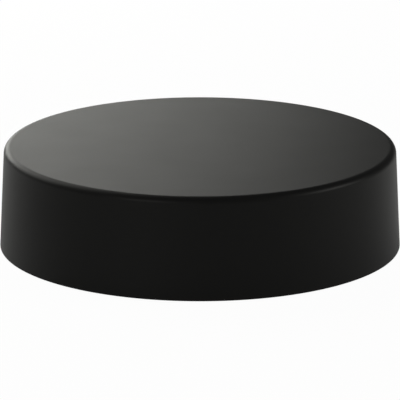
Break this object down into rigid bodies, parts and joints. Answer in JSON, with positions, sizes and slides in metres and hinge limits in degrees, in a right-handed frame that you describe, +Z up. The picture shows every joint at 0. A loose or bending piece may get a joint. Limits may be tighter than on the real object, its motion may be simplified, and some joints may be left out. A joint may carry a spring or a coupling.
{
  "type": "puck antenna",
  "caption": "Low round panel antenna: drafted black cover over a base with recessed threaded coaxial jacks, a mounting gasket and threaded inserts underneath.",
  "frame": {"origin": "centre of the mounting gasket's underside, the plane of the panel it is fixed to", "axes": "+Z up out of the panel through the crown; +X from the cellular jack towards the satellite jack; +Y towards the cellular radiator"},
  "size_m": [0.1, 0.1, 0.0258],
  "materials": {
    "radome_plastic": "satin",
    "base_plastic": "satin",
    "seal_rubber": "matte",
    "gasket_rubber": "matte",
    "insert_brass": "knurled",
    "stainless_screw": "satin",
    "vent_film": "matte",
    "board_laminate": "satin",
    "zinc_screw": "satin",
    "tinned_sheet": "satin",
    "carrier_plastic": "satin",
    "patch_ceramic": "matte",
    "adhesive_pad": "matte",
    "gilt_pin": "bright",
    "shield_can": "satin",
    "chip_resin": "matte",
    "capacitor_ceramic": "matte",
    "gilt_brass": "bright",
    "white_insulator": "satin"
  },
  "bodies": {
    "root": {"radome": "radome_plastic", "base": "base_plastic", "rim_seal": "seal_rubber", "mounting_gasket": "gasket_rubber", "mounting_inserts": "insert_brass", "cover_screws": "stainless_screw", "vent_membrane": "vent_film", "circuit_board": "board_laminate", "board_screws": "zinc_screw", "cellular_radiator": "tinned_sheet", "radiator_carrier": "carrier_plastic", "satellite_patch": "patch_ceramic", "patch_adhesive": "adhesive_pad", "patch_feed_pin": "gilt_pin", "amplifier_shield": "shield_can", "amplifier_chip": "chip_resin", "filter_chips": "chip_resin", "chip_capacitors": "capacitor_ceramic", "cellular_jack_shell": "gilt_brass", "cellular_jack_insulator": "white_insulator", "cellular_jack_contact": "gilt_pin", "cellular_jack_seal": "seal_rubber", "cellular_jack_washer": "gilt_brass", "cellular_jack_nut": "gilt_brass", "satellite_jack_shell": "gilt_brass", "satellite_jack_insulator": "white_insulator", "satellite_jack_contact": "gilt_pin", "satellite_jack_seal": "seal_rubber", "satellite_jack_washer": "gilt_brass", "satellite_jack_nut": "gilt_brass"}
  },
  "joints": []
}
